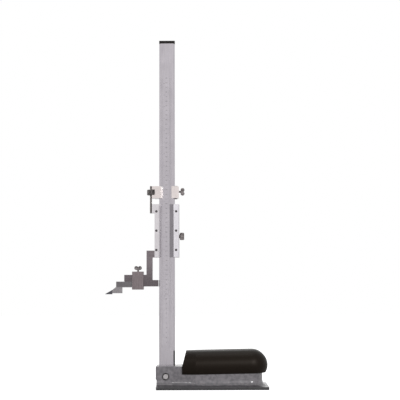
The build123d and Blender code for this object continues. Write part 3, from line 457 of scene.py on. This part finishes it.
def makeNut(n):
    tooth = (0, 1, 1, 0)     # root, crest, crest, root
    count = n["teeth"] * len(tooth)
    rings = [      # radius, height, how much of the tooth is cut there
        (n["bore"], n["low"], 0), (n["hub"], n["low"], 0),
        (n["radius"] - n["chamfer"], n["low"], 0),
        (n["radius"], n["low"] + n["chamfer"], 1), (n["radius"], n["high"] - n["chamfer"], 1),
        (n["radius"] - n["chamfer"], n["high"], 0),
        (n["hub"], n["high"], 0), (n["bore"], n["high"], 0),
    ]
    target = bmesh.new()
    rows = []
    for radius, z, cut in rings:
        row = []
        for i in range(count):
            a = 2 * pi * i / count
            r = radius - cut * n["toothDepth"] * (1 - tooth[i % len(tooth)])
            row.append(target.verts.new(Vector((n["x"] + r * cos(a), n["y"] + r * sin(a), z)) * mm))
        rows.append(row)
    for k in range(len(rows)):
        low, high = rows[k], rows[(k + 1) % len(rows)]
        for i in range(count):
            j = (i + 1) % count
            target.faces.new((low[i], low[j], high[j], high[i]))
    bmesh.ops.recalc_face_normals(target, faces=target.faces)
    piece = addPiece("knurledNut", meshFrom(target, "knurledNut"), "nut", "knurledSteel")
    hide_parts("fine_adjust_nut")


# the fine-adjustment screw: a thread cut along its whole length
threadedRod = {
    "x": -34.0, "y": -3.0, "low": 364.1, "high": 421.7,
    "radius": 2.3, "threadDepth": 0.32, "pitch": 0.8, "point": 0.6,
    "sides": 20, "stepsPerTurn": 4,
}


def makeRod(t):
    length = t["high"] - t["low"]
    steps = int(length / t["pitch"] * t["stepsPerTurn"])
    target = bmesh.new()
    rows = []
    for k in range(steps + 1):
        z = t["low"] + length * k / steps
        taper = max(0, t["point"] - min(z - t["low"], t["high"] - z))
        row = []
        for i in range(t["sides"]):
            a = 2 * pi * i / t["sides"]
            phase = ((z - t["low"]) / t["pitch"] - i / t["sides"]) % 1
            r = min(t["radius"] - t["threadDepth"] * abs(2 * phase - 1), t["radius"] - taper)
            row.append(target.verts.new(Vector((t["x"] + r * cos(a), t["y"] + r * sin(a), z)) * mm))
        rows.append(row)
    for k in range(steps):
        for i in range(t["sides"]):
            j = (i + 1) % t["sides"]
            target.faces.new((rows[k][i], rows[k][j], rows[k + 1][j], rows[k + 1][i]))
    target.faces.new(list(reversed(rows[0])))
    target.faces.new(rows[-1])
    piece = addPiece("threadedRod", meshFrom(target, "threadedRod"), "slider", "turnedSteel")
    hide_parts("fine_adjust_screw")


makeMainScale(mainScale)
print("scale engraved")
makeVernier(vernier)
print("vernier engraved")
makeNut(knurledNut)
makeRod(threadedRod)
print("nut and rod made")

studio = {
    "floorSize": 12.0, "floorColour": "#eeeeee",
    "floorGap": 0.02,         # mm below the base
    "floorGlow": 0.62,        # what the lens sees on top of the light that falls on the floor
    "skyLight": 0.5,
    "backdrop": 1.0,          # white for the lens and in reflections
    "keyPower": 180.0, "keyPlace": (1.7, -4.8, 2.35), "keySize": (1.6, 0.8),
    "fillPower": 5.0, "fillPlace": (-2.3, -0.6, 0.9), "fillSize": (0.8, 0.8),
    "topPower": 5.0, "topPlace": (0.1, 0.1, 1.9), "topSize": (0.9, 0.9),
    "glintPower": 8.0, "glintPlace": (-1.86, -1.9, 2.3), "glintSize": (0.15, 0.15),
    "aim": (0.04, 0.0, 0.3),
}


def addLamp(name, power, place, size, aim):
    data = bpy.data.lights.new(name, "AREA")
    data.energy = power
    data.shape = "RECTANGLE"
    data.size, data.size_y = size
    lamp = bpy.data.objects.new(name, data)
    bpy.context.scene.collection.objects.link(lamp)
    lamp.location = place
    lamp.rotation_euler = (Vector(aim) - Vector(place)).to_track_quat("-Z", "Y").to_euler()


def makeFloor(s):
    half = s["floorSize"] / 2
    low = cadBox[0][2] - s["floorGap"] * mm
    corners = [(-half, -half, low), (half, -half, low), (half, half, low), (-half, half, low)]
    mesh = bpy.data.meshes.new("floor")
    mesh.from_pydata(corners, [], [(0, 1, 2, 3)])
    floor = bpy.data.objects.new("floor", mesh)
    bpy.context.scene.collection.objects.link(floor)
    # matt painted board: pale and even, with the object's soft shadow on it
    material, tree = newMaterial("paintedFloor")
    paint = addNode(tree, "ShaderNodeBsdfDiffuse", {"Color": hexColour(s["floorColour"])})
    glow = addNode(tree, "ShaderNodeEmission", {"Strength": s["floorGlow"]})
    rays = addNode(tree, "ShaderNodeLightPath")
    dark = addNode(tree, "ShaderNodeEmission", {"Strength": 0.0})
    seen = addNode(tree, "ShaderNodeMixShader", {},
                   {0: (rays, "Is Camera Ray"), 1: (dark, "Emission"), 2: (glow, "Emission")})
    both = addNode(tree, "ShaderNodeAddShader", {}, {0: (paint, "BSDF"), 1: (seen, "Shader")})
    addNode(tree, "ShaderNodeOutputMaterial", {}, {"Surface": (both, "Shader")})
    mesh.materials.append(material)


def makeSky(s):
    world = bpy.data.worlds.new("studio")
    bpy.context.scene.world = world
    world.use_nodes = True
    tree = world.node_tree
    tree.nodes.clear()
    light = addNode(tree, "ShaderNodeBackground", {"Color": (1, 1, 1, 1), "Strength": s["skyLight"]})
    backdrop = addNode(tree, "ShaderNodeBackground", {"Color": (1, 1, 1, 1), "Strength": s["backdrop"]})
    rays = addNode(tree, "ShaderNodeLightPath")
    shiny = addNode(tree, "ShaderNodeMath", {"operation": "MAXIMUM"},
                    {0: (rays, "Is Glossy Ray"), 1: (rays, "Is Transmission Ray")})
    seen = addNode(tree, "ShaderNodeMath", {"operation": "MAXIMUM"},
                   {0: (rays, "Is Camera Ray"), 1: (shiny, "Value")})
    mixed = addNode(tree, "ShaderNodeMixShader", {},
                    {0: (seen, "Value"), 1: (light, "Background"), 2: (backdrop, "Background")})
    addNode(tree, "ShaderNodeOutputWorld", {}, {"Surface": (mixed, "Shader")})


makeFloor(studio)
makeSky(studio)
for lampName in ("key", "fill", "top", "glint"):
    addLamp(lampName, *(studio[lampName + part] for part in ("Power", "Place", "Size")), studio["aim"])
bpy.context.scene.view_settings.view_transform = "Standard"
print("studio lit")
